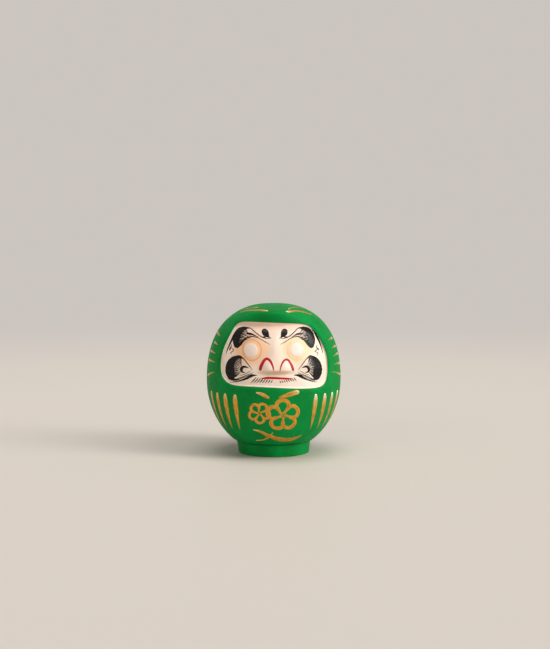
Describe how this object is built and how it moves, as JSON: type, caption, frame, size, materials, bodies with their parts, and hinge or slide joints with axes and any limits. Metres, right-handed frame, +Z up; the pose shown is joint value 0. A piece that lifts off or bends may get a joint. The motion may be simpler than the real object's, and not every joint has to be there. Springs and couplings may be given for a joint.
{
  "type": "daruma doll",
  "caption": "Round hollow papier-mache daruma doll with a hooded, recessed painted face, green robe with gold brush strokes and a weighted clay foot.",
  "frame": {"origin": "centre of the foot's underside, on the surface that the doll stands on", "axes": "+Z up the doll's axis, -Y the way the face looks, +X to the right of someone who looks at the face"},
  "size_m": [0.108, 0.108, 0.12],
  "materials": {
    "robe_green": "painted, soft satin",
    "foot_clay": "painted over unfired clay, matt underneath",
    "face_white": "smooth shell lime with a soft sheen",
    "ink_black": "brushed ink, slightly glossy",
    "paint_red": "brushed paint, satin",
    "paint_gold": "brushed metallic paint"
  },
  "bodies": {
    "root": {"front_shell": "robe_green", "back_shell": "robe_green", "seam_strip": "robe_green", "foot_weight": "foot_clay", "face_layer": "face_white"}
  },
  "joints": []
}
